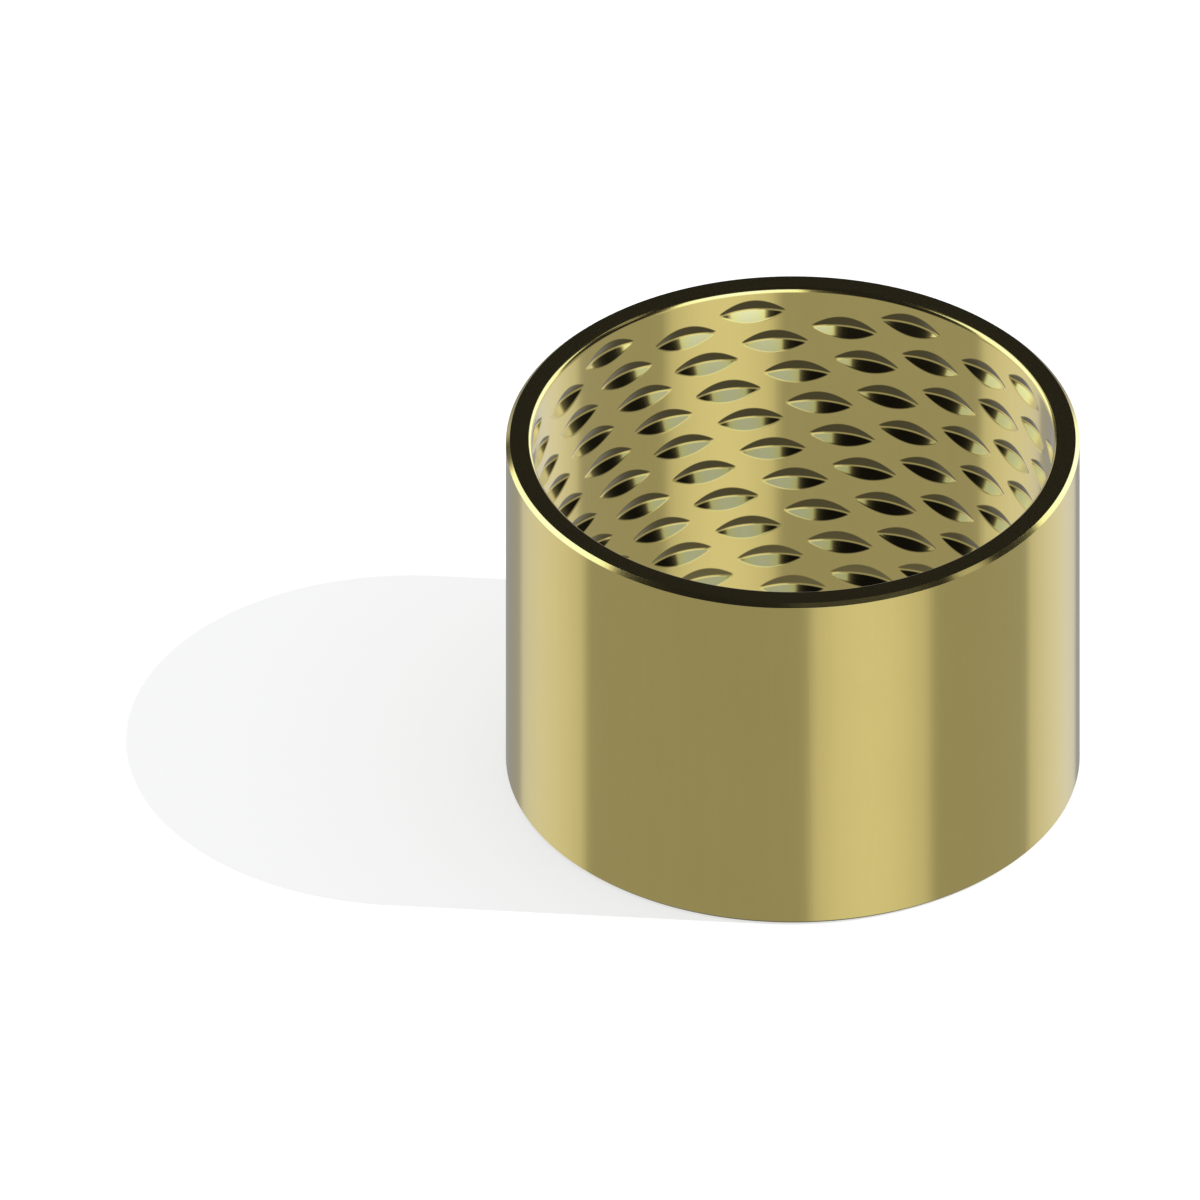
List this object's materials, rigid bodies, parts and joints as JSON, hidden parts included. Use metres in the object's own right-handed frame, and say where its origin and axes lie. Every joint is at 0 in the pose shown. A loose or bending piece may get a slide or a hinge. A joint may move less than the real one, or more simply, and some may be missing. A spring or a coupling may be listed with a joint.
{
  "type": "wrapped bushing",
  "caption": "Thin-walled plain cylindrical bush of solid bronze, its bore stamped all over with shallow lens-shaped grease pockets.",
  "frame": {"origin": "centre of the lower end face, on the bush's axis", "axes": "+Z along the axis, up from the lower end face to the upper one; +Y to the back of the picture's view"},
  "size_m": [0.044, 0.044, 0.03],
  "materials": {
    "bronze": "satin"
  },
  "bodies": {
    "root": {"bushing": "bronze"}
  },
  "joints": []
}
